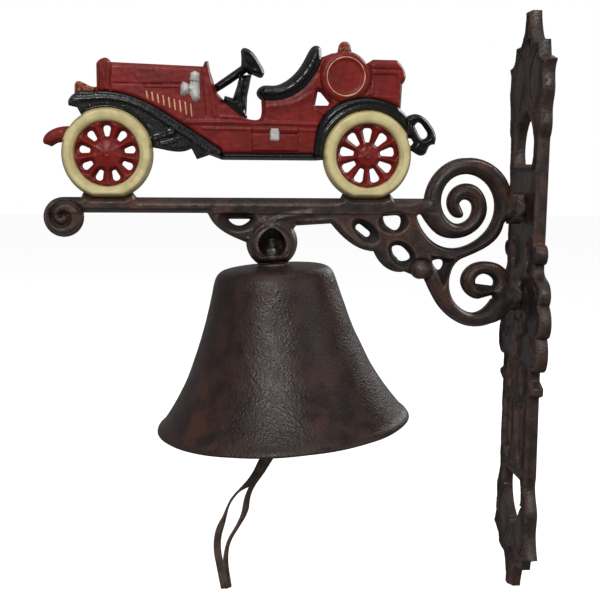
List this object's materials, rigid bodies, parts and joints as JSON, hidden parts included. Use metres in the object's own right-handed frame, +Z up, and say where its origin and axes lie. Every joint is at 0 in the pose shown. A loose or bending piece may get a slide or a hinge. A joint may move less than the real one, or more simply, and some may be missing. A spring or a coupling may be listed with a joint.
{
  "type": "wall mounted bell",
  "caption": "Wall mounted cast bell on a scrolled bracket with an open vintage car on top, swinging clapper and leather pull thong.",
  "frame": {"origin": "centre of the wall plate's back face, on the wall", "axes": "+Z up along the wall plate, +X out of the plate's back into the wall, the bracket reaches along -X"},
  "size_m": [0.2726, 0.143, 0.332],
  "materials": {
    "cast_iron": "semi-gloss antique brown over sand-cast iron",
    "bell_iron": "semi-gloss antique brown, rubbed rust-brown in places",
    "steel": "dull zinc-plated hardware",
    "clapper_iron": "dark plain iron",
    "red_paint": "deep red enamel with dark edges",
    "black_paint": "gloss black enamel, grey dry-brushed on the front fender",
    "cream_paint": "hand-painted cream tyres",
    "gold_paint": "gold paint touches",
    "silver_paint": "silver paint",
    "leather": "flat brown leather lace"
  },
  "bodies": {
    "bracket": {"wall_plate": "cast_iron", "bracket_arm": "cast_iron", "bracket_bolts": "steel", "front_tyre": "cream_paint", "rear_tyre": "cream_paint", "front_wheel": "red_paint", "rear_wheel": "red_paint", "car_body": "red_paint", "fuel_tank": "red_paint", "trunk": "red_paint", "front_lamp": "red_paint", "spring_end": "red_paint", "tank_cap": "red_paint", "front_fender": "black_paint", "rear_fender": "black_paint", "running_board": "black_paint", "seat_cushion": "black_paint", "steering_wheel": "black_paint", "steering_column": "black_paint", "brake_levers": "black_paint", "pedals": "black_paint", "tail_loop": "black_paint", "side_lamps": "silver_paint", "step_plates": "silver_paint", "louvres": "gold_paint", "tank_hoops": "gold_paint"},
    "bell": {"bell": "bell_iron", "crown_washer": "steel", "inner_washer": "steel", "nut_washer": "steel", "hanger_nut": "steel", "hanger_bolt": "steel"},
    "clapper_link": {"clapper_link": "steel"},
    "clapper": {"clapper_rod": "steel", "clapper_ball": "clapper_iron", "thong_knot": "leather", "thong_long_leg": "leather", "thong_short_leg": "leather"}
  },
  "joints": [
    {"name": "bell_turn", "type": "hinge", "parent": "bracket", "child": "bell", "pos_m": [-0.147, 0, 0.0265], "axis": [-0.0663, 0, 0.9978], "continuous": true},
    {"name": "clapper_swing", "type": "hinge", "parent": "bell", "child": "clapper_link", "pos_m": [-0.14569, 0, 0.00674], "axis": [0, 1, 0], "range_deg": [-32, 30]},
    {"name": "clapper_sway", "type": "hinge", "parent": "clapper_link", "child": "clapper", "pos_m": [-0.14569, 0, -0.00826], "axis": [1, 0, 0], "range_deg": [-12, 12]}
  ]
}
